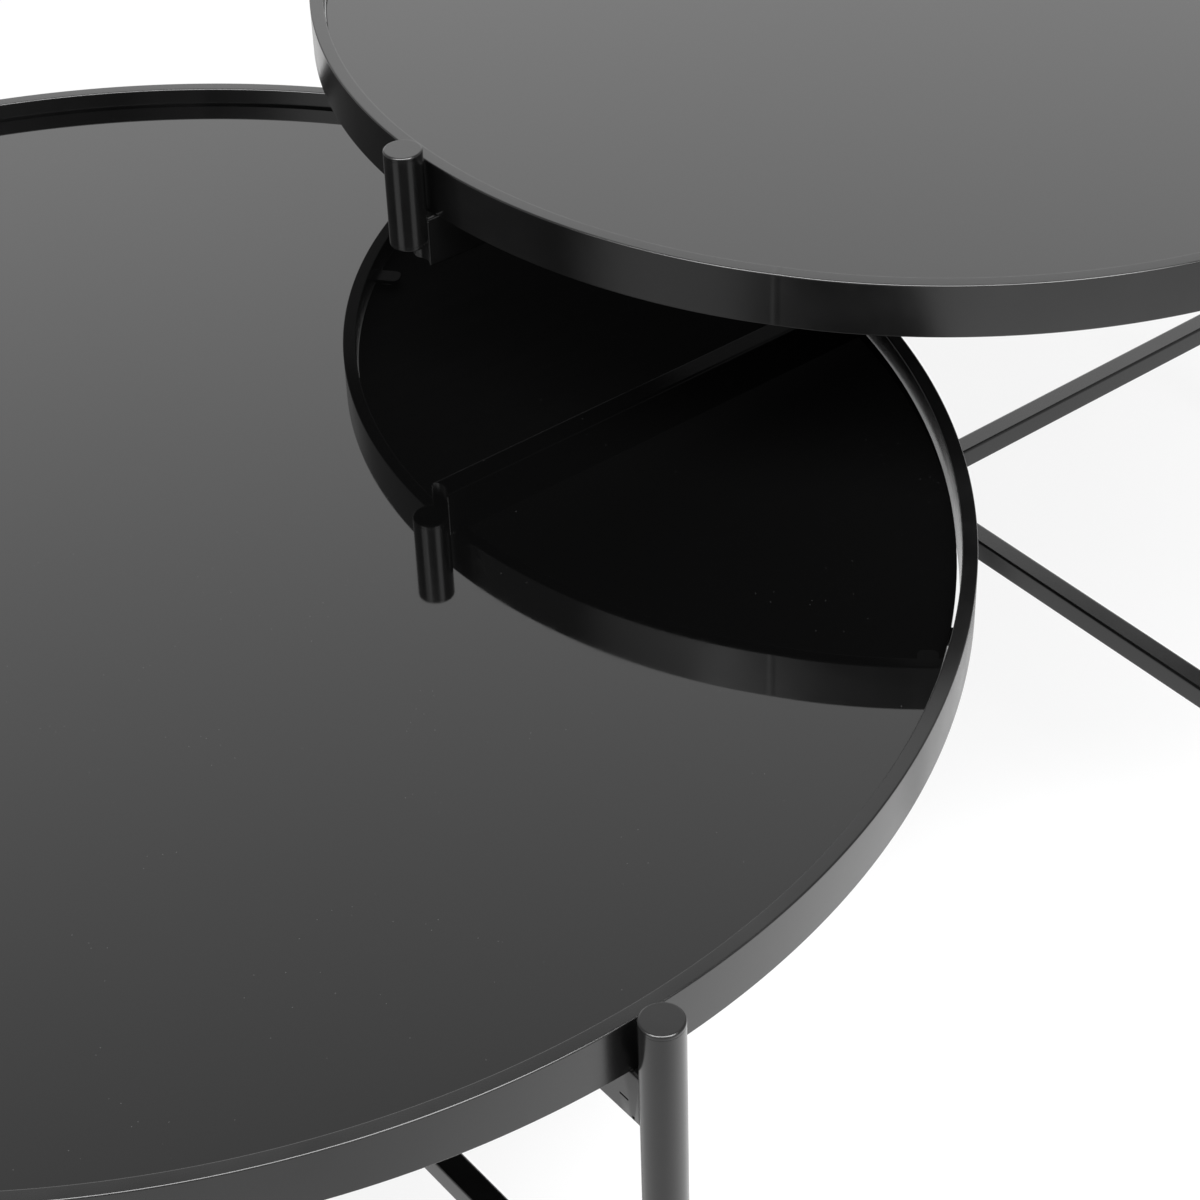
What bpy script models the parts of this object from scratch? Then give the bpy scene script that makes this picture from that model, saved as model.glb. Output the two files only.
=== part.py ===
"""A pair of round nesting tables: black glass trays in rolled steel rims, on tube legs that stand
outside the rims. The small tall table slides over the large low one along X."""

import math

import bmesh
import bpy
from mathutils import Matrix, Vector

# Driving dimensions, in metres
LOW_RADIUS = 0.375  # outside of the low table's rim
LOW_HEIGHT = 0.320  # floor to the top of its rim
TALL_RADIUS = 0.290
NEST_STEP = 0.103  # how much higher the tall table's rim is, so that the low one fits under it
NEST_SLACK = 0.0738  # how far the low table can still go in, leg to stretcher, from where it rests

RIM_HEIGHT = 0.025
RIM_WALL = 0.0065
RIM_EDGE = 0.0006  # softened edges of the rolled bar

GLASS_THICKNESS = 0.005
GLASS_DEPTH = 0.009  # top of the rim down to the glass
LOW_GLASS_CLEARANCE = 0.0018  # all round, between the large glass and its rim
TALL_GLASS_CLEARANCE = 0.0007
GLASS_EDGE = 0.0006

LEG_DIAMETER = 0.0172
LEG_WALL = 0.0015
LEG_GAP = 0.002  # air between the rim and a leg
LOW_LEG_RISE = 0.006  # how far a leg stands above its table's rim
TALL_LEG_RISE = 0.009
STUB_DROP = 0.0125  # how far the short inner leg hangs below the rim
CAP_THICKNESS = 0.002
CAP_EDGE = 0.0006
PLUG_DEPTH = 0.010  # spigot of a cap or glide inside its leg
PLUG_CLEARANCE = 0.0002
GLIDE_HEIGHT = 0.004
GLIDE_INSET = 0.0005  # a glide is this much smaller in radius than its leg

TOP_BAR_WIDTH = 0.012
TOP_BAR_HEIGHT = 0.025
STRETCHER_SIZE = 0.012
BAR_WALL = 0.0015
LOW_STRETCHER_TOP = 0.128  # floor to the top of the lower cross
TALL_STRETCHER_TOP = 0.115

TAB_ANGLE = 49.5  # degrees from the X axis to each glass tab
TAB_WIDTH = 0.010
TAB_REACH = 0.014
TAB_THICKNESS = 0.002
PAD_RADIUS = 0.004
PAD_THICKNESS = 0.0015

CONTACT_GAP = 0.0003  # between pieces that touch
MERGE_DISTANCE = 1e-6
SMOOTH_ANGLE = math.radians(35)
RING_STEPS = 120
LEG_STEPS = 24
PAD_STEPS = 12

# Values worked out from the ones above
TAB_ANGLES = {
    "inner_left": TAB_ANGLE,
    "outer_left": 180 - TAB_ANGLE,
    "outer_right": 180 + TAB_ANGLE,
    "inner_right": 360 - TAB_ANGLE,
}
BAR_CORNER = BAR_WALL  # chamfer along a bar, never less than the wall can follow
LEG_RADIUS = LEG_DIAMETER / 2
LEG_OFFSET = LEG_GAP + LEG_RADIUS  # rim's outside to a leg's axis
LOW_REACH = LOW_RADIUS + LEG_OFFSET + LEG_RADIUS
TALL_REACH = TALL_RADIUS + LEG_OFFSET + LEG_RADIUS
TALL_HEIGHT = LOW_HEIGHT + NEST_STEP
TABLE_SPACING = LOW_REACH + NEST_SLACK + STRETCHER_SIZE / 2  # between the tables' centres at rest
SET_MIDDLE = (TABLE_SPACING + TALL_REACH - LOW_REACH) / 2

LOW = {
    "name": "low",
    "radius": LOW_RADIUS,
    "height": LOW_HEIGHT,
    "leg_rise": LOW_LEG_RISE,
    "stretcher_top": LOW_STRETCHER_TOP,
    "glass_clearance": LOW_GLASS_CLEARANCE,
    "centre": Vector((-SET_MIDDLE, 0, 0)),
    "legs": {"inner": 0, "left": 90, "outer": 180, "right": 270},
    "stub": {},
    "along": {"inner": 0, "outer": 180},
}
TALL = {
    "name": "tall",
    "radius": TALL_RADIUS,
    "height": TALL_HEIGHT,
    "leg_rise": TALL_LEG_RISE,
    "stretcher_top": TALL_STRETCHER_TOP,
    "glass_clearance": TALL_GLASS_CLEARANCE,
    "centre": Vector((TABLE_SPACING - SET_MIDDLE, 0, 0)),
    "legs": {"outer": 0, "left": 90, "right": 270},
    "stub": {"inner": 180},
    "along": {"inner": 180, "outer": 0},
}


def clear_scene():
    for item in list(bpy.data.objects):
        bpy.data.objects.remove(item, do_unlink=True)


def make_material(name, color, roughness, metallic, alpha=1.0):
    material = bpy.data.materials.new(name)
    material.use_nodes = True
    shader = material.node_tree.nodes["Principled BSDF"]
    shader.inputs["Base Color"].default_value = (*color, 1)
    shader.inputs["Roughness"].default_value = roughness
    shader.inputs["Metallic"].default_value = metallic
    shader.inputs["Alpha"].default_value = alpha
    return material


def make_object(name, bm, material, parent, smooth=True):
    """Turns a closed bmesh into a named object, and puts it under its table's empty."""
    bmesh.ops.remove_doubles(bm, verts=bm.verts, dist=MERGE_DISTANCE)
    bmesh.ops.recalc_face_normals(bm, faces=bm.faces)
    mesh = bpy.data.meshes.new(name)
    bm.to_mesh(mesh)
    bm.free()
    mesh.materials.append(material)
    if smooth:
        mesh.shade_smooth()
        mesh.set_sharp_from_angle(angle=SMOOTH_ANGLE)
    item = bpy.data.objects.new(name, mesh)
    bpy.context.collection.objects.link(item)
    item.parent = parent
    return item


def spin_profile(bm, profile, steps, closed):
    """Turns a profile of (radius, height) points about the Z axis."""
    verts = [bm.verts.new((r, 0, z)) for r, z in profile]
    pairs = list(zip(verts, verts[1:]))
    if closed:
        pairs.append((verts[-1], verts[0]))
    edges = [bm.edges.new(pair) for pair in pairs]
    bmesh.ops.spin(
        bm, geom=verts + edges, cent=(0, 0, 0), axis=(0, 0, 1),
        angle=math.tau, steps=steps, use_merge=True,
    )
    return bm


def turned(profile, steps, closed=False):
    return spin_profile(bmesh.new(), profile, steps, closed)


def tube_profile(inner, outer, bottom, top, edge):
    """A ring's section, with its two outer edges softened."""
    return [
        (inner, bottom), (outer - edge, bottom), (outer, bottom + edge),
        (outer, top - edge), (outer - edge, top), (inner, top),
    ]


def moved(bm, offset):
    bmesh.ops.translate(bm, verts=bm.verts, vec=offset)
    return bm


def at_angle(radius, degrees):
    angle = math.radians(degrees)
    return Vector((radius * math.cos(angle), radius * math.sin(angle), 0))


def square_tube(length, width, height, wall, corner):
    """A rectangular tube along +X from the origin, open at both ends, its top face at z = 0."""
    bm = bmesh.new()
    low, high = Vector((0, -width / 2, -height)), Vector((0, width / 2, 0))
    outline = [(0, low.y, low.z), (0, high.y, low.z), (0, high.y, high.z), (0, low.y, high.z)]
    face = bm.faces.new([bm.verts.new(point) for point in outline])
    bmesh.ops.bevel(
        bm, geom=face.verts[:], offset=corner, affect="VERTICES",
        segments=1, profile=0.5, material=-1,
    )
    bm.faces.ensure_lookup_table()
    middle = bm.faces[0]
    bmesh.ops.inset_region(bm, faces=[middle], thickness=wall, use_boundary=True, use_even_offset=True)
    bmesh.ops.delete(bm, geom=[middle], context="FACES_ONLY")
    grown = bmesh.ops.extrude_face_region(bm, geom=bm.faces[:])
    moved_verts = [item for item in grown["geom"] if isinstance(item, bmesh.types.BMVert)]
    bmesh.ops.translate(bm, verts=moved_verts, vec=(length, 0, 0))
    return bm


def bar_between(start, end, level, width, height):
    """A rectangular tube from start to end, its top face at level."""
    run = end - start
    bm = square_tube(run.length, width, height, BAR_WALL, BAR_CORNER)
    turn = Matrix.Rotation(math.atan2(run.y, run.x), 4, "Z")
    place = Matrix.Translation((start.x, start.y, level))
    bmesh.ops.transform(bm, matrix=place @ turn, verts=bm.verts)
    return bm


def cope(bar, cutter):
    """Cuts a bar's ends to the round of the legs that it is welded to."""
    cut = bar.modifiers.new("cope", "BOOLEAN")
    cut.operation = "DIFFERENCE"
    cut.solver = "EXACT"
    cut.object = cutter


def leg_cutter(table, parent):
    """Hidden posts, one gap larger than the legs, that shape the ends of the bars."""
    bm = bmesh.new()
    reach = table["radius"] + LEG_OFFSET
    for degrees in (table["legs"] | table["stub"]).values():
        post = bmesh.ops.create_cone(
            bm, cap_ends=True, segments=LEG_STEPS * 2, depth=table["height"],
            radius1=LEG_RADIUS + CONTACT_GAP, radius2=LEG_RADIUS + CONTACT_GAP,
        )
        place = at_angle(reach, degrees) + Vector((0, 0, table["height"] / 2))
        bmesh.ops.translate(bm, verts=post["verts"], vec=place)
    cutter = make_object(f"{table['name']}_leg_cutter", bm, black_steel, parent)
    cutter.hide_render = True
    cutter.display_type = "WIRE"
    return cutter


def add_rim(table, parent):
    outer = table["radius"]
    profile = tube_profile(
        outer - RIM_WALL, outer, table["height"] - RIM_HEIGHT, table["height"], RIM_EDGE
    )
    make_object(f"{table['name']}_rim", turned(profile, RING_STEPS, closed=True), black_steel, parent)


def add_glass(table, parent):
    edge = table["radius"] - RIM_WALL - table["glass_clearance"]
    top = table["height"] - GLASS_DEPTH
    bottom = top - GLASS_THICKNESS
    profile = [
        (0, bottom), (edge - GLASS_EDGE, bottom), (edge, bottom + GLASS_EDGE),
        (edge, top - GLASS_EDGE), (edge - GLASS_EDGE, top), (0, top),
    ]
    make_object(f"{table['name']}_glass", turned(profile, RING_STEPS), black_glass, parent)


def add_glass_supports(table, parent):
    """Small tabs inside the rim, between the legs and the bars, each with a clear pad on it."""
    inner = table["radius"] - RIM_WALL - CONTACT_GAP
    pad_top = table["height"] - GLASS_DEPTH - GLASS_THICKNESS - CONTACT_GAP
    tab_top = pad_top - PAD_THICKNESS - CONTACT_GAP
    tab_middle = Vector((inner - TAB_REACH / 2, 0, tab_top - TAB_THICKNESS / 2))
    pad_middle = Vector((tab_middle.x, 0, pad_top - PAD_THICKNESS / 2))
    tab_size = Matrix.Diagonal((TAB_REACH, TAB_WIDTH, TAB_THICKNESS, 1))
    for side, degrees in TAB_ANGLES.items():
        turn = Matrix.Rotation(math.radians(degrees), 4, "Z")
        tab, pad = bmesh.new(), bmesh.new()
        bmesh.ops.create_cube(tab, size=1, matrix=turn @ Matrix.Translation(tab_middle) @ tab_size)
        bmesh.ops.create_cone(
            pad, cap_ends=True, segments=PAD_STEPS, radius1=PAD_RADIUS, radius2=PAD_RADIUS,
            depth=PAD_THICKNESS, matrix=turn @ Matrix.Translation(pad_middle),
        )
        make_object(f"{table['name']}_glass_tab_{side}", tab, black_steel, parent, smooth=False)
        make_object(f"{table['name']}_glass_pad_{side}", pad, clear_silicone, parent)


def add_tube(name, place, bottom, top, parent):
    inner = LEG_RADIUS - LEG_WALL
    profile = [(inner, bottom), (LEG_RADIUS, bottom), (LEG_RADIUS, top), (inner, top)]
    make_object(name, moved(turned(profile, LEG_STEPS, closed=True), place), black_steel, parent)


def add_plug(name, place, tube_end, head, head_radius, direction, material, parent):
    """A round plug: its head closes the end of a tube, its spigot stands inside it.
    direction is 1 for a cap on top and -1 for a glide or plug underneath."""
    spigot = LEG_RADIUS - LEG_WALL - PLUG_CLEARANCE
    face = tube_end + direction * CONTACT_GAP
    end = face + direction * (head - CONTACT_GAP)
    profile = [
        (0, tube_end - direction * PLUG_DEPTH), (spigot, tube_end - direction * PLUG_DEPTH),
        (spigot, face), (head_radius, face), (head_radius, end - direction * CAP_EDGE),
        (head_radius - CAP_EDGE, end), (0, end),
    ]
    make_object(name, moved(turned(profile, LEG_STEPS), place), material, parent)


def add_legs(table, parent):
    reach = table["radius"] + LEG_OFFSET
    tube_top = table["height"] + table["leg_rise"] - CAP_THICKNESS
    for side, degrees in table["legs"].items():
        name = f"{table['name']}_leg_{side}"
        place = at_angle(reach, degrees)
        add_tube(name, place, GLIDE_HEIGHT, tube_top, parent)
        add_plug(f"{name}_cap", place, tube_top, CAP_THICKNESS, LEG_RADIUS, 1, black_steel, parent)
        add_plug(
            f"{name}_glide", place, GLIDE_HEIGHT, GLIDE_HEIGHT, LEG_RADIUS - GLIDE_INSET, -1,
            black_plastic, parent,
        )
    for side, degrees in table["stub"].items():
        name = f"{table['name']}_stub_{side}"
        place = at_angle(reach, degrees)
        tube_bottom = table["height"] - RIM_HEIGHT - STUB_DROP + CAP_THICKNESS
        add_tube(name, place, tube_bottom, tube_top, parent)
        add_plug(f"{name}_cap", place, tube_top, CAP_THICKNESS, LEG_RADIUS, 1, black_steel, parent)
        add_plug(
            f"{name}_plug", place, tube_bottom, CAP_THICKNESS, LEG_RADIUS, -1, black_steel, parent
        )


def add_cross(table, kind, level, width, height, halves, cutter, parent):
    """One bar across the table from its left leg to its right one, and half bars along the table
    that butt against its sides."""
    reach = table["radius"] + LEG_OFFSET
    ends = {"long": (at_angle(reach, 90), at_angle(reach, 270))}
    for side, degrees in halves.items():
        ends[side] = (at_angle(width / 2 + CONTACT_GAP, degrees), at_angle(reach, degrees))
    for side, (start, end) in ends.items():
        bar = bar_between(start, end, level, width, height)
        name = f"{table['name']}_{kind}_{side}"
        cope(make_object(name, bar, black_steel, parent, smooth=False), cutter)


def add_table(table):
    parent = bpy.data.objects.new(f"{table['name']}_table", None)
    parent.location = table["centre"]
    bpy.context.collection.objects.link(parent)
    cutter = leg_cutter(table, parent)
    add_rim(table, parent)
    add_glass(table, parent)
    add_glass_supports(table, parent)
    add_legs(table, parent)
    top_level = table["height"] - RIM_HEIGHT - CONTACT_GAP
    add_cross(
        table, "top_bar", top_level, TOP_BAR_WIDTH, TOP_BAR_HEIGHT, table["along"], cutter, parent
    )
    on_floor = {side: angle for side, angle in table["along"].items() if side in table["legs"]}
    add_cross(
        table, "stretcher", table["stretcher_top"], STRETCHER_SIZE, STRETCHER_SIZE, on_floor,
        cutter, parent,
    )


clear_scene()
black_steel = make_material("black_steel", (0.008, 0.008, 0.0081), 0.28, 0.0)
black_glass = make_material("black_glass", (0.004, 0.004, 0.004), 0.03, 0.0)
black_plastic = make_material("black_plastic", (0.018, 0.018, 0.018), 0.6, 0.0)
clear_silicone = make_material("clear_silicone", (0.75, 0.76, 0.76), 0.35, 0.0, alpha=0.5)
add_table(LOW)
add_table(TALL)
bpy.context.view_layer.update()
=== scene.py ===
import math

import bmesh
import bpy
from mathutils import Matrix, Vector


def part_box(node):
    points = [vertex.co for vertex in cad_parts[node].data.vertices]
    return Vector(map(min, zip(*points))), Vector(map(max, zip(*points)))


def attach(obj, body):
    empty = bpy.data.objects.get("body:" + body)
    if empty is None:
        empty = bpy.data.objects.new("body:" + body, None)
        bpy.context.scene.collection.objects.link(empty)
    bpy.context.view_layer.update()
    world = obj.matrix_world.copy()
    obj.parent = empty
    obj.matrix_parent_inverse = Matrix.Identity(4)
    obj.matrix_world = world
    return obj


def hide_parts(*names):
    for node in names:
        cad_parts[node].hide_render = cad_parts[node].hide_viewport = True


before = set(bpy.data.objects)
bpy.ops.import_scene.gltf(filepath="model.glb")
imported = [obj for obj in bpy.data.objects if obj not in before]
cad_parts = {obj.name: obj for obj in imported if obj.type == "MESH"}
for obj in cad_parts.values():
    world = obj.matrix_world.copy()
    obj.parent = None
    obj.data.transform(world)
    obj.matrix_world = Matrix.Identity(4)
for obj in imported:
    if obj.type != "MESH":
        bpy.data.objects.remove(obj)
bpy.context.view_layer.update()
print("frame loaded:", len(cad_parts), "nodes")

scene = bpy.context.scene
tables = {"low": "low_table", "tall": "tall_table"}  # the body that each table's pieces ride on


def middleOf(node):
    low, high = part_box(node)
    return (low + high) / 2


def atHeight(point, z):
    return Vector((point.x, point.y, z))


viewpoint = {
    "distance": 1.0511,  # level distance from the low table's axis
    "bearing": 244.83,  # degrees from +X, seen from that axis
    "above": 0.763,  # over the top of the low rim
    "heading": 53.0,
    "tilt": 38.51,  # downwards
    "roll": 2.01,
    "lens": 90.77,
    "filmWidth": 36,
    "shift": (0.001, 0.0014),
    "nearest": 0.02,
}


def placeCamera():
    low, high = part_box("low_rim")
    axis = (low + high) / 2
    bearing = math.radians(viewpoint["bearing"])
    away = Vector((math.cos(bearing), math.sin(bearing), 0)) * viewpoint["distance"]
    camera = bpy.data.objects.new("camera", bpy.data.cameras.new("camera"))
    scene.collection.objects.link(camera)
    turn = Matrix.Rotation(math.radians(viewpoint["heading"] - 90), 4, "Z")
    nod = Matrix.Rotation(math.radians(90 - viewpoint["tilt"]), 4, "X")
    lean = Matrix.Rotation(math.radians(-viewpoint["roll"]), 4, "Z")
    place = Matrix.Translation(atHeight(axis + away, high.z + viewpoint["above"]))
    camera.matrix_world = place @ turn @ nod @ lean
    camera.data.sensor_width = viewpoint["filmWidth"]
    camera.data.lens = viewpoint["lens"]
    camera.data.shift_x, camera.data.shift_y = viewpoint["shift"]
    camera.data.clip_start = viewpoint["nearest"]
    scene.camera = camera


placeCamera()
print("camera placed")


class Wire:
    # one output socket; arithmetic on it adds Math nodes
    def __init__(self, board, socket):
        self.board = board
        self.socket = socket

    def maths(self, operation, first, second):
        return self.board.node("Math", {"operation": operation}, {0: first, 1: second})

    def __add__(self, other):
        return self.maths("ADD", self, other)

    def __sub__(self, other):
        return self.maths("SUBTRACT", self, other)

    def __rsub__(self, other):
        return self.maths("SUBTRACT", other, self)

    def __mul__(self, other):
        return self.maths("MULTIPLY", self, other)

    def __gt__(self, other):
        return self.maths("GREATER_THAN", self, other)

    __radd__ = __add__
    __rmul__ = __mul__


coolness = 1.01  # blue over red and green, in every grey


def shade(grey):
    return (grey, grey, grey * coolness, 1)


def between(mask, ends):
    # the first end where the mask is 0, the second where it is 1
    return mask * (ends[1] - ends[0]) + ends[0]


class Board:
    # the node tree of one material or world
    def __init__(self, owner):
        owner.use_nodes = True
        self.tree = owner.node_tree
        self.tree.nodes.clear()

    def node(self, kind, settings=None, sockets=None, out=0):
        made = self.tree.nodes.new("ShaderNode" + kind)
        for name, value in (settings or {}).items():
            setattr(made, name, value)
        for name, value in (sockets or {}).items():
            if isinstance(value, Wire):
                self.tree.links.new(value.socket, made.inputs[name])
            else:
                made.inputs[name].default_value = value
        return Wire(self, made.outputs[out]) if made.outputs else made

    def where(self):
        return self.node("TexCoord", out="Object")

    def stretched(self, where, times):
        # draws a pattern out into streaks along X
        return self.node("Mapping", None, {"Vector": where, "Scale": (1, times, 1)})

    def noise(self, where, size, detail, roughness=0.55):
        # size is the width of one blotch, in metres
        sockets = {"Vector": where, "Scale": 1 / size, "Detail": detail, "Roughness": roughness}
        return self.node("TexNoise", None, sockets)

    def rise(self, value, edges):
        # a mask: 0 up to the first edge, 1 from the second
        sockets = {"Value": value, "From Min": edges[0], "From Max": edges[1]}
        return self.node("MapRange", {"interpolation_type": "SMOOTHSTEP"}, sockets)

    def tone(self, mask, greys):
        # 6, 7 and 2 are the Mix node's own colour sockets
        sockets = {0: mask, 6: shade(greys[0]), 7: shade(greys[1])}
        return self.node("Mix", {"data_type": "RGBA"}, sockets, out=2)

    def relief(self, height, strength, distance, under=None):
        sockets = {"Height": height, "Strength": strength, "Distance": distance}
        if under:
            sockets["Normal"] = under
        return self.node("Bump", None, sockets)


powderCoat = {
    "greys": (0.0015, 0.003),  # smooth patches, dry patches
    "gloss": (0.20, 0.27),  # roughness of the same two
    "patch": 0.06,
    "patchEdges": (0.35, 0.7),
    "grain": 0.0007,  # width of one bump in the sprayed coat
    "grainDepth": 0.000012,
    "peel": 0.0045,  # the slower waves under the grain
    "peelDepth": 0.00002,
    "relief": 0.5,
    "ior": 1.5,
}


def makeBlackSteel(board):
    where = board.where()
    patches = board.noise(where, powderCoat["patch"], detail=4)
    grain = board.noise(where, powderCoat["grain"], detail=2)
    peel = board.noise(where, powderCoat["peel"], detail=2)
    dry = board.rise(patches, powderCoat["patchEdges"])
    waves = board.relief(peel, powderCoat["relief"], powderCoat["peelDepth"])
    return {
        "Base Color": board.tone(dry, powderCoat["greys"]),
        "Roughness": between(dry, powderCoat["gloss"]),
        "Normal": board.relief(grain, powderCoat["relief"], powderCoat["grainDepth"], waves),
        "IOR": powderCoat["ior"],
    }


blackGlass = {
    "greys": (0.001, 0.05),  # glass, dust
    "polish": 0.015,
    "film": 0.16,  # width of a patch that a cloth has left
    "filmEdges": (0.46, 0.72),
    "wipe": 0.05,  # length of the cloth's streaks
    "wipeStretch": 9,
    "smear": 0.05,  # roughness that the film adds
    "dustSpacing": 0.0042,
    "dustEdges": (0.03, 0.07),  # where a speck starts to fade and ends, as shares of the spacing
    "dustCover": 0.5,
    "dustRoughness": 0.2,
    "scatter": 0.03,  # width of the areas that have dust at all
    "scatterFrom": 0.56,
    "ior": 1.52,
}


def makeBlackGlass(board):
    where = board.where()
    blotches = board.noise(where, blackGlass["film"], detail=5, roughness=0.6)
    film = board.rise(blotches, blackGlass["filmEdges"])
    streaks = board.stretched(where, blackGlass["wipeStretch"])
    wiped = board.noise(streaks, blackGlass["wipe"], detail=3)
    specks = board.node(
        "TexVoronoi", {"feature": "F1"}, {"Vector": where, "Scale": 1 / blackGlass["dustSpacing"]}
    )
    scatter = board.noise(where, blackGlass["scatter"], detail=2)
    dust = (1 - board.rise(specks, blackGlass["dustEdges"])) * (scatter > blackGlass["scatterFrom"])
    smooth = film * wiped * blackGlass["smear"] + blackGlass["polish"]
    return {
        "Base Color": board.tone(dust * blackGlass["dustCover"], blackGlass["greys"]),
        "Roughness": smooth + dust * blackGlass["dustRoughness"],
        "IOR": blackGlass["ior"],
    }


backLacquer = {
    "greys": (0.0015, 0.0027),  # between the roller's strokes, on them
    "gloss": (0.55, 0.75),
    "stroke": 0.08,
    "strokeStretch": 14,
    "strokeDepth": 0.00002,
    "relief": 0.3,
    "ior": 1.3,
}


def makeBackLacquer(board):
    # the paint rolled on the underside, which makes the clear sheet black
    streaks = board.stretched(board.where(), backLacquer["strokeStretch"])
    rolled = board.noise(streaks, backLacquer["stroke"], detail=4)
    return {
        "Base Color": board.tone(rolled, backLacquer["greys"]),
        "Roughness": between(rolled, backLacquer["gloss"]),
        "Normal": board.relief(rolled, backLacquer["relief"], backLacquer["strokeDepth"]),
        "IOR": backLacquer["ior"],
    }


blackPlastic = {
    "greys": (0.018, 0.045),  # clean, scuffed
    "gloss": (0.5, 0.64),
    "scuff": 0.004,
    "scuffEdges": (0.5, 0.75),
    "grain": 0.0005,
    "grainDepth": 0.00006,
    "relief": 0.6,
}


def makeBlackPlastic(board):
    where = board.where()
    grain = board.noise(where, blackPlastic["grain"], detail=2)
    scuffs = board.rise(board.noise(where, blackPlastic["scuff"], detail=4), blackPlastic["scuffEdges"])
    return {
        "Base Color": board.tone(scuffs, blackPlastic["greys"]),
        "Roughness": between(scuffs, blackPlastic["gloss"]),
        "Normal": board.relief(grain, blackPlastic["relief"], blackPlastic["grainDepth"]),
    }


clearSilicone = {
    "greys": (0.75, 0.6),  # clean, dusty
    "gloss": (0.3, 0.45),
    "alpha": (0.5, 0.65),
    "cloud": 0.002,
    "cloudEdges": (0.4, 0.7),
}


def makeClearSilicone(board):
    cloud = board.noise(board.where(), clearSilicone["cloud"], detail=3)
    dusty = board.rise(cloud, clearSilicone["cloudEdges"])
    return {
        "Base Color": board.tone(dusty, clearSilicone["greys"]),
        "Roughness": between(dusty, clearSilicone["gloss"]),
        "Alpha": between(dusty, clearSilicone["alpha"]),
    }


def makeFinish(name, recipe):
    material = bpy.data.materials.new(name)
    board = Board(material)
    surface = board.node("BsdfPrincipled", None, recipe(board))
    board.node("OutputMaterial", None, {"Surface": surface})
    return material


finishes = {
    "black_steel": makeFinish("blackSteel", makeBlackSteel),
    "black_glass": makeFinish("blackGlass", makeBlackGlass),
    "back_lacquer": makeFinish("backLacquer", makeBackLacquer),
    "black_plastic": makeFinish("blackPlastic", makeBlackPlastic),
    "clear_silicone": makeFinish("clearSilicone", makeClearSilicone),
}
print("finishes made:", len(finishes))


joinDistance = 1e-7
samePlace = 1e-5  # closer than this counts as being there
foldAngle = 40  # degrees; sharper folds keep a hard line
hairline = 0.00005  # left between two pieces that meet


def finishPiece(name, bm, finish, body, *replaced):
    bmesh.ops.remove_doubles(bm, verts=bm.verts, dist=joinDistance)
    bmesh.ops.recalc_face_normals(bm, faces=bm.faces)
    mesh = bpy.data.meshes.new(name)
    bm.to_mesh(mesh)
    bm.free()
    mesh.materials.append(finishes[finish])
    mesh.shade_smooth()
    mesh.set_sharp_from_angle(angle=math.radians(foldAngle))
    piece = bpy.data.objects.new(name, mesh)
    scene.collection.objects.link(piece)
    even = piece.modifiers.new("evenShading", "WEIGHTED_NORMAL")  # keeps flats flat beside rounds
    even.keep_sharp = True
    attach(piece, body)
    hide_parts(*replaced)
    return piece


def roundEdges(bm, edges, radius, segments):
    bmesh.ops.bevel(
        bm, geom=edges, offset=radius, offset_type="OFFSET", affect="EDGES",
        segments=segments, profile=0.5, material=-1, clamp_overlap=True,
    )


def levelFaces(bm, z):
    return [face for face in bm.faces if all(abs(vert.co.z - z) < samePlace for vert in face.verts)]


def levelEdges(bm, z):
    return [edge for edge in bm.edges if all(abs(vert.co.z - z) < samePlace for vert in edge.verts)]


def circleEdges(bm, centre, z, radius):
    return [
        edge for edge in levelEdges(bm, z)
        if all(abs((vert.co - centre).xy.length - radius) < samePlace for vert in edge.verts)
    ]


def standDisc(bm, centre, bottom, top, radius, segments):
    # a capped cylinder
    bmesh.ops.create_circle(
        bm, cap_ends=True, segments=segments, radius=radius,
        matrix=Matrix.Translation(atHeight(centre, bottom)),
    )
    grown = bmesh.ops.extrude_face_region(bm, geom=bm.faces[:])["geom"]
    verts = [item for item in grown if isinstance(item, bmesh.types.BMVert)]
    bmesh.ops.translate(bm, verts=verts, vec=(0, 0, top - bottom))
    bmesh.ops.recalc_face_normals(bm, faces=bm.faces)


rimShape = {
    "wall": 0.0065,
    "round": 0.0007,
    "roundSteps": 4,
    "steps": 360,
    "seamAt": {"low": 158, "tall": 215.5},  # degrees round from +X, where the bar's ends are welded
    "seamHalf": 0.0011,
    "seamDepth": 0.00016,
    "kink": 0.0004,  # how far in the bar's two ends were drawn when they were welded
    "kinkRuns": (0.060, 0.028),  # along the rim, before and after the seam
}


def turnRing(bm, low, high, radius):
    # a rectangle with rounded corners, turned once round the upright axis
    wall = rimShape["wall"]
    middle = (radius - wall / 2, 0, (low.z + high.z) / 2)
    place = Matrix.Translation(middle) @ Matrix.Rotation(math.radians(90), 4, "X")
    size = Matrix.Diagonal((wall, high.z - low.z, 1, 1))
    bmesh.ops.create_grid(bm, x_segments=1, y_segments=1, size=0.5, matrix=place @ size)
    bmesh.ops.bevel(
        bm, geom=bm.verts[:], offset=rimShape["round"], affect="VERTICES",
        segments=rimShape["roundSteps"], profile=0.5, material=-1,
    )
    bmesh.ops.delete(bm, geom=bm.faces[:], context="FACES_ONLY")
    bmesh.ops.spin(
        bm, geom=bm.verts[:] + bm.edges[:], cent=(0, 0, 0), axis=(0, 0, 1),
        angle=math.tau, steps=rimShape["steps"], use_merge=True,
    )


def directions(angle):
    # along the rim, and out of it
    along = Vector((-math.sin(angle), math.cos(angle), 0))
    outward = Vector((math.cos(angle), math.sin(angle), 0))
    return along, outward


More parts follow.
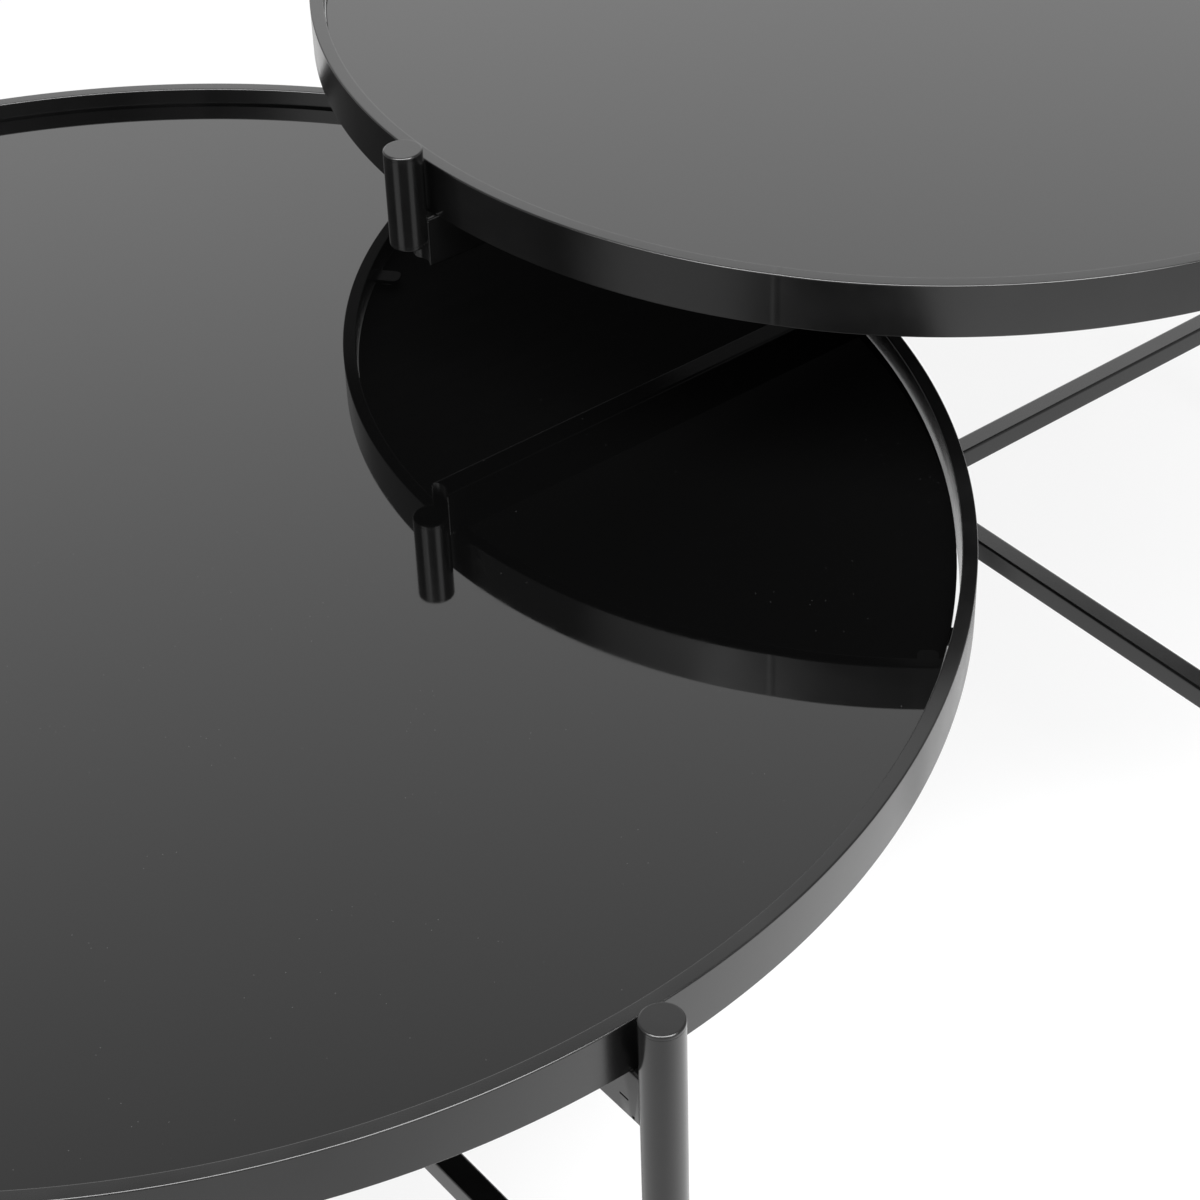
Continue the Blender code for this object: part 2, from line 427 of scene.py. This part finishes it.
def cutSeam(bm, centre, angle, radius):
    # a ground weld: one narrow dip all round the bar's section
    half = rimShape["seamHalf"]
    for offset in (-half, 0, half):
        along, outward = directions(angle + offset / radius)
        cut = {}  # each item once, and always in the same order
        for face in bm.faces:
            if (face.calc_center_median() - centre).dot(outward) > radius / 2:
                cut.update(dict.fromkeys((face, *face.edges, *face.verts)))
        bmesh.ops.bisect_plane(
            bm, geom=list(cut), dist=joinDistance, plane_co=centre, plane_no=along
        )
    along, outward = directions(angle)
    bm.normal_update()
    for vert in bm.verts:
        arm = vert.co - centre
        if abs(arm.dot(along)) < half / 2 and arm.dot(outward) > 0:
            vert.co -= vert.normal * rimShape["seamDepth"]


def drawIn(bm, centre, angle, radius):
    # the rolled bar runs a little flat towards its ends, so that they meet in a faint corner
    before, after = rimShape["kinkRuns"]
    for vert in bm.verts:
        arm = atHeight(vert.co - centre, 0)
        turned = (math.atan2(arm.y, arm.x) - angle + math.pi) % math.tau - math.pi
        run = turned * radius
        share = 1 - run / after if run > 0 else 1 + run / before
        if share > 0:
            vert.co -= arm.normalized() * rimShape["kink"] * share ** 2


def makeRim(table):
    low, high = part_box(f"{table}_rim")
    centre = atHeight((low + high) / 2, 0)
    radius = (high.x - low.x) / 2
    seam = math.radians(rimShape["seamAt"][table])
    bm = bmesh.new()
    turnRing(bm, low, high, radius)
    bmesh.ops.translate(bm, verts=bm.verts, vec=centre)
    cutSeam(bm, centre, seam, radius)
    drawIn(bm, centre, seam, radius)
    finishPiece(f"{table}Rim", bm, "black_steel", tables[table], f"{table}_rim")


glassShape = {"arris": 0.0004, "arrisSteps": 3, "steps": 288}


def makeGlass(table):
    low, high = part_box(f"{table}_glass")
    bm = bmesh.new()
    standDisc(bm, (low + high) / 2, low.z, high.z, (high.x - low.x) / 2, glassShape["steps"])
    corners = levelEdges(bm, low.z) + levelEdges(bm, high.z)
    roundEdges(bm, corners, glassShape["arris"], glassShape["arrisSteps"])
    pane = finishPiece(f"{table}Glass", bm, "black_glass", tables[table], f"{table}_glass")
    pane.data.materials.append(finishes["back_lacquer"])
    under = min(pane.data.polygons, key=lambda face: face.center.z)
    under.material_index = 1


tabShape = {"nose": 0.0035, "noseSteps": 5, "edge": 0.0002, "edgeSteps": 2}


def makeTab(table, side):
    # the CAD node is a turned plate, so its own middle and the table's axis give its direction
    node = f"{table}_glass_tab_{side}"
    place = middleOf(node)
    arm = place - middleOf(f"{table}_rim")
    angle = math.atan2(arm.y, arm.x)
    low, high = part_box(node)
    fill = high - low
    # a plate of reach by width, turned by angle, fills a box of
    # reach * cosine + width * sine by reach * sine + width * cosine
    cosine, sine = abs(math.cos(angle)), abs(math.sin(angle))
    share = cosine ** 2 - sine ** 2
    reach = (fill.x * cosine - fill.y * sine) / share
    width = (fill.y * cosine - fill.x * sine) / share
    bm = bmesh.new()
    bmesh.ops.create_cube(bm, size=1, matrix=Matrix.Diagonal((reach, width, fill.z, 1)))
    nose = [
        edge for edge in bm.edges
        if edge.verts[0].co.x < 0 and edge.verts[0].co.xy == edge.verts[1].co.xy
    ]
    roundEdges(bm, nose, tabShape["nose"], tabShape["noseSteps"])
    rims = levelEdges(bm, fill.z / 2) + levelEdges(bm, -fill.z / 2)
    roundEdges(bm, rims, tabShape["edge"], tabShape["edgeSteps"])
    turn = Matrix.Translation(place) @ Matrix.Rotation(angle, 4, "Z")
    bmesh.ops.transform(bm, matrix=turn, verts=bm.verts)
    finishPiece(f"{table}Tab_{side}", bm, "black_steel", tables[table], node)


padShape = {"steps": 32, "edge": 0.0004, "edgeSteps": 3}


def makePad(table, side):
    node = f"{table}_glass_pad_{side}"
    low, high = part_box(node)
    bm = bmesh.new()
    standDisc(bm, (low + high) / 2, low.z, high.z, (high.x - low.x) / 2, padShape["steps"])
    roundEdges(bm, levelEdges(bm, high.z), padShape["edge"], padShape["edgeSteps"])
    finishPiece(f"{table}Pad_{side}", bm, "clear_silicone", tables[table], node)


legShape = {
    "sides": 64,
    "wall": 0.0015,
    "mouthDepth": 0.012,
    "mouthEdge": 0.00012,
    "mouthSteps": 2,
    "capEdge": 0.0009,
    "glideEdge": 0.0008,
    "edgeSteps": 4,
    "skirt": 0.00012,
    "skirtSteps": 2,
    "plugDepth": 0.010,
    "plugSlack": 0.0002,
}


def pushInner(bm, centre, z, ring, depth):
    # insets an end face by ring and pushes the disc inside it up or down by depth
    bmesh.ops.inset_region(
        bm, faces=levelFaces(bm, z), thickness=ring, use_boundary=True, use_even_offset=True
    )
    disc = min(levelFaces(bm, z), key=lambda face: (face.calc_center_median() - centre).xy.length)
    pushed = bmesh.ops.extrude_discrete_faces(bm, faces=[disc])["faces"][0]
    bmesh.ops.translate(bm, verts=pushed.verts, vec=(0, 0, depth))


def makeTube(node):
    # both ends are hollowed, so that the plugs stand in a mouth
    low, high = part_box(node)
    centre = (low + high) / 2
    radius = (high.x - low.x) / 2
    bm = bmesh.new()
    standDisc(bm, centre, low.z, high.z, radius, legShape["sides"])
    for end, inward in ((low.z, 1), (high.z, -1)):
        pushInner(bm, centre, end, legShape["wall"], inward * legShape["mouthDepth"])
        mouth = circleEdges(bm, centre, end, radius)
        roundEdges(bm, mouth, legShape["mouthEdge"], legShape["mouthSteps"])
    return bm


def makePlug(node, tubeEnd, edge, radius):
    # a round head that closes the tube and a spigot inside it; upward if the head is above tubeEnd
    low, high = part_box(node)
    centre = (low + high) / 2
    upward = high.z - tubeEnd < tubeEnd - low.z
    face = tubeEnd + (hairline if upward else -hairline)
    end = high.z if upward else low.z
    bm = bmesh.new()
    standDisc(bm, centre, min(face, end), max(face, end), radius, legShape["sides"])
    depth = -legShape["plugDepth"] if upward else legShape["plugDepth"]
    pushInner(bm, centre, face, legShape["wall"] + legShape["plugSlack"], depth)
    roundEdges(bm, circleEdges(bm, centre, end, radius), edge, legShape["edgeSteps"])
    roundEdges(bm, circleEdges(bm, centre, face, radius), legShape["skirt"], legShape["skirtSteps"])
    return bm


def pieceName(node):
    words = node.split("_")
    return words[0] + "".join(word.capitalize() for word in words[1:])


def makeLeg(node, table):
    body = tables[table]
    low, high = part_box(node)
    finishPiece(pieceName(node), makeTube(node), "black_steel", body, node)
    radius = (high.x - low.x) / 2
    for part, tubeEnd, finish, edge in (
        ("cap", high.z, "black_steel", legShape["capEdge"]),
        ("plug", low.z, "black_steel", legShape["capEdge"]),
        ("glide", low.z, "black_plastic", legShape["glideEdge"]),
    ):
        name = f"{node}_{part}"
        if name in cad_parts:
            partLow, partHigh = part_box(name)
            head = (partHigh.x - partLow.x) / 2
            bm = makePlug(name, tubeEnd, edge, min(head, radius))
            finishPiece(pieceName(name), bm, finish, body, name)


barShape = {
    "corner": 0.0014,
    "cornerSteps": 4,
    "strips": 8,  # across the width, so that an end can follow a leg
    "legReach": 2,  # a leg this many bar widths or less from the end is the one it meets
    # openings through the side wall, where the tube breathes while it is welded and drains once coated;
    # fromLeg is from the leg's axis to the middle, drop is below the middle of the bar
    "openings": (
        {"fromLeg": 0.0150, "drop": 0.0034, "length": 0.0050, "height": 0.0009},
        {"fromLeg": 0.0098, "drop": 0.0103, "length": 0.0013, "height": 0.0013},
    ),
    "openingDepth": 0.0016,
}
weldShape = {
    "radius": 0.00045,
    "pitch": 0.0011,
    "sides": 8,
    "ripple": (1.0, 0.8),  # crest and trough, as shares of the radius
    "end": 0.55,
}


def weldBead(bm, start, end):
    # overlapping ripples, drawn out of one small disc
    run = end - start
    steps = max(2, round(run.length / weldShape["pitch"])) * 2
    turn = Vector((0, 0, 1)).rotation_difference(run).to_matrix().to_4x4()
    disc = bmesh.ops.create_circle(
        bm, cap_ends=True, segments=weldShape["sides"], radius=weldShape["radius"] * weldShape["end"],
        matrix=Matrix.Translation(start) @ turn,
    )
    tip = disc["verts"][0].link_faces[0]
    place = start.copy()
    for step in range(steps):
        tip = bmesh.ops.extrude_discrete_faces(bm, faces=[tip])["faces"][0]
        bmesh.ops.translate(bm, verts=tip.verts, vec=run / steps)
        place += run / steps
        share = weldShape["end"] if step == steps - 1 else weldShape["ripple"][step % 2]
        growth = weldShape["radius"] * share / (tip.verts[0].co - place).length
        bmesh.ops.scale(bm, verts=tip.verts, vec=(growth,) * 3, space=Matrix.Translation(-place))


def legsOf(table):
    posts = [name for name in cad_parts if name.startswith((f"{table}_leg_", f"{table}_stub_"))]
    return [name for name in posts if name.count("_") == 2]


def wallFace(bm, point):
    # the flat side face that holds a point
    def holds(face):
        xs = [vert.co.x for vert in face.verts]
        zs = [vert.co.z for vert in face.verts]
        flat = all(abs(vert.co.y - point.y) < samePlace for vert in face.verts)
        return flat and min(xs) < point.x < max(xs) and min(zs) < point.z < max(zs)

    return next(face for face in bm.faces if holds(face))


def cutOpening(bm, opening, along, wall):
    # four cuts in the one face round the middle, so that the rest of the bar keeps its long faces
    middle = Vector((along, wall, -opening["drop"]))
    for offset in (Vector((opening["length"] / 2, 0, 0)), Vector((0, 0, opening["height"] / 2))):
        for edge in (middle + offset, middle - offset):
            face = wallFace(bm, middle)
            bmesh.ops.bisect_plane(
                bm, geom=[face, *face.edges, *face.verts], dist=joinDistance,
                plane_co=edge, plane_no=offset.normalized(),
            )
    slot = bmesh.ops.extrude_discrete_faces(bm, faces=[wallFace(bm, middle)])["faces"][0]
    depth = math.copysign(barShape["openingDepth"], wall)
    bmesh.ops.translate(bm, verts=slot.verts, vec=(0, -depth, 0))


def postsAt(table, place, length, width):
    # where along the bar the legs at its ends stand, and their radius
    posts = {}
    for post in legsOf(table):
        low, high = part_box(post)
        spot = place.inverted() @ atHeight((low + high) / 2, place.translation.z)
        fromEnd = abs(abs(spot.x) - length / 2)
        if abs(spot.y) < width and fromEnd < width * barShape["legReach"]:
            posts[spot.x] = (high.x - low.x) / 2
    return posts


def makeBar(node, table):
    low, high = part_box(node)
    size = high - low
    length, width, height = max(size.x, size.y), min(size.x, size.y), size.z
    turn = Matrix.Identity(4) if size.x > size.y else Matrix.Rotation(math.radians(90), 4, "Z")
    place = Matrix.Translation((low + high) / 2) @ turn
    bm = bmesh.new()
    bmesh.ops.create_cube(bm, size=1, matrix=Matrix.Diagonal((length, width, height, 1)))
    long = [edge for edge in bm.edges if edge.calc_length() > length - samePlace]
    roundEdges(bm, long, barShape["corner"], barShape["cornerSteps"])
    for strip in range(1, barShape["strips"]):
        offset = width * (strip / barShape["strips"] - 0.5)
        bmesh.ops.bisect_plane(
            bm, geom=bm.verts[:] + bm.edges[:] + bm.faces[:], dist=joinDistance,
            plane_co=(0, offset, 0), plane_no=(0, 1, 0),
        )
    posts = postsAt(table, place, length, width)
    for vert in bm.verts:
        for along, radius in posts.items():
            if vert.co.x * along > 0 and abs(abs(vert.co.x) - length / 2) < samePlace:
                bite = math.sqrt((radius + hairline) ** 2 - vert.co.y ** 2)
                vert.co.x = along - math.copysign(bite, along)
    if node.endswith("top_bar_long"):
        for along in posts:
            for opening in barShape["openings"]:
                cutOpening(bm, opening, along - math.copysign(opening["fromLeg"], along), width / 2)
    reach = height / 2 - barShape["corner"]
    for along, radius in posts.items():
        inset = math.copysign(math.sqrt(radius ** 2 - (width / 2) ** 2), along)
        for side in (-width / 2, width / 2):
            weldBead(bm, Vector((along - inset, side, -reach)), Vector((along - inset, side, reach)))
    bmesh.ops.transform(bm, matrix=place, verts=bm.verts)
    finishPiece(pieceName(node), bm, "black_steel", tables[table], node)


for table in tables:
    makeRim(table)
    makeGlass(table)
    for node in sorted(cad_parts):
        words = node.split("_")
        if words[0] != table:
            continue
        if "tab" in words:
            makeTab(table, node.split("_tab_")[1])
        elif "pad" in words:
            makePad(table, node.split("_pad_")[1])
        elif "bar" in words or "stretcher" in words:
            makeBar(node, table)
    for node in legsOf(table):
        makeLeg(node, table)
    print(table, "table built")


studio = {
    "floorSize": 30.0,
    "floorGrey": 0.07,
    "floorGlow": (0.87, 1.49),  # all over, and in the painted pool of light
    "patchAt": (0.10, -0.56),
    "patchEdges": (0.10, 0.50),  # from its middle to where it starts to fade and to where it ends
    "overhead": 0.38,
    "screen": (0.25, 1.40),  # added low down, at the sides and behind the tables
    "screenEdges": (0.79, 0.95),  # cosine of the turn from its middle: at its end, and where it is full
    "screenHeights": (0.47, 0.93),  # sine of the height where it starts to fade and where it ends
}
lights = {
    "keyOver": {"bearing": 240, "rise": 66, "distance": 2.4, "size": (2.9, 1.4), "power": 190},
    "boxLeft": {"bearing": 187, "rise": 34, "distance": 2.4, "size": (1.25, 0.9), "power": 28},
    "boxRight": {"bearing": 276, "rise": 34, "distance": 2.4, "size": (1.0, 1.0), "power": 24},
}


def makeFloor():
    bm = bmesh.new()
    bmesh.ops.create_grid(bm, x_segments=2, y_segments=2, size=studio["floorSize"] / 2)
    mesh = bpy.data.meshes.new("floor")
    bm.to_mesh(mesh)
    bm.free()
    floor = bpy.data.objects.new("floor", mesh)
    scene.collection.objects.link(floor)
    material = bpy.data.materials.new("lightTable")
    board = Board(material)
    # a painted pool of light: the floor glows brighter round this spot, in front of the tables
    middle = (*studio["patchAt"], 0)
    reach = board.node(
        "VectorMath", {"operation": "DISTANCE"}, {0: board.where(), 1: middle}, out="Value"
    )
    glow = between(1 - board.rise(reach, studio["patchEdges"]), studio["floorGlow"])
    lit = board.node("Emission", None, {"Color": glow, "Strength": 1})
    matt = board.node("BsdfDiffuse", None, {"Color": shade(studio["floorGrey"])})
    both = board.node("AddShader", None, {0: lit, 1: matt})
    board.node("OutputMaterial", None, {"Surface": both})
    mesh.materials.append(material)


def makeWorld():
    world = bpy.data.worlds.new("studio")
    scene.world = world
    board = Board(world)
    way = board.node("TexCoord", out="Generated")
    height = board.node("SeparateXYZ", None, {0: way}, out="Z")
    flat = board.node("VectorMath", {"operation": "MULTIPLY"}, {0: way, 1: (1, 1, 0)})
    level = board.node("VectorMath", {"operation": "NORMALIZE"}, {0: flat})
    heading = math.radians(viewpoint["heading"])
    middle = (math.cos(heading), math.sin(heading), 0)
    facing = board.node(
        "VectorMath", {"operation": "DOT_PRODUCT"}, {0: level, 1: middle}, out="Value"
    )
    low = 1 - board.rise(height, studio["screenHeights"])
    screen = between(board.rise(facing, studio["screenEdges"]), studio["screen"])
    sky = board.node("Background", None, {"Color": low * screen + studio["overhead"], "Strength": 1})
    board.node("OutputWorld", None, {"Surface": sky})


def makeLight(name):
    values = lights[name]
    bearing = math.radians(values["bearing"])
    rise = math.radians(values["rise"])
    way = Vector((
        math.cos(bearing) * math.cos(rise), math.sin(bearing) * math.cos(rise), math.sin(rise)
    ))
    light = bpy.data.lights.new(name, "AREA")
    light.shape = "RECTANGLE"
    light.size, light.size_y = values["size"]
    light.energy = values["power"]
    lamp = bpy.data.objects.new(name, light)
    scene.collection.objects.link(lamp)
    turn = way.to_track_quat("Z", "Y").to_matrix().to_4x4()
    lamp.matrix_world = Matrix.Translation(middleOf("low_rim") + way * values["distance"]) @ turn


makeFloor()
makeWorld()
for name in lights:
    makeLight(name)
scene.view_settings.view_transform = "Standard"
print("studio lit")
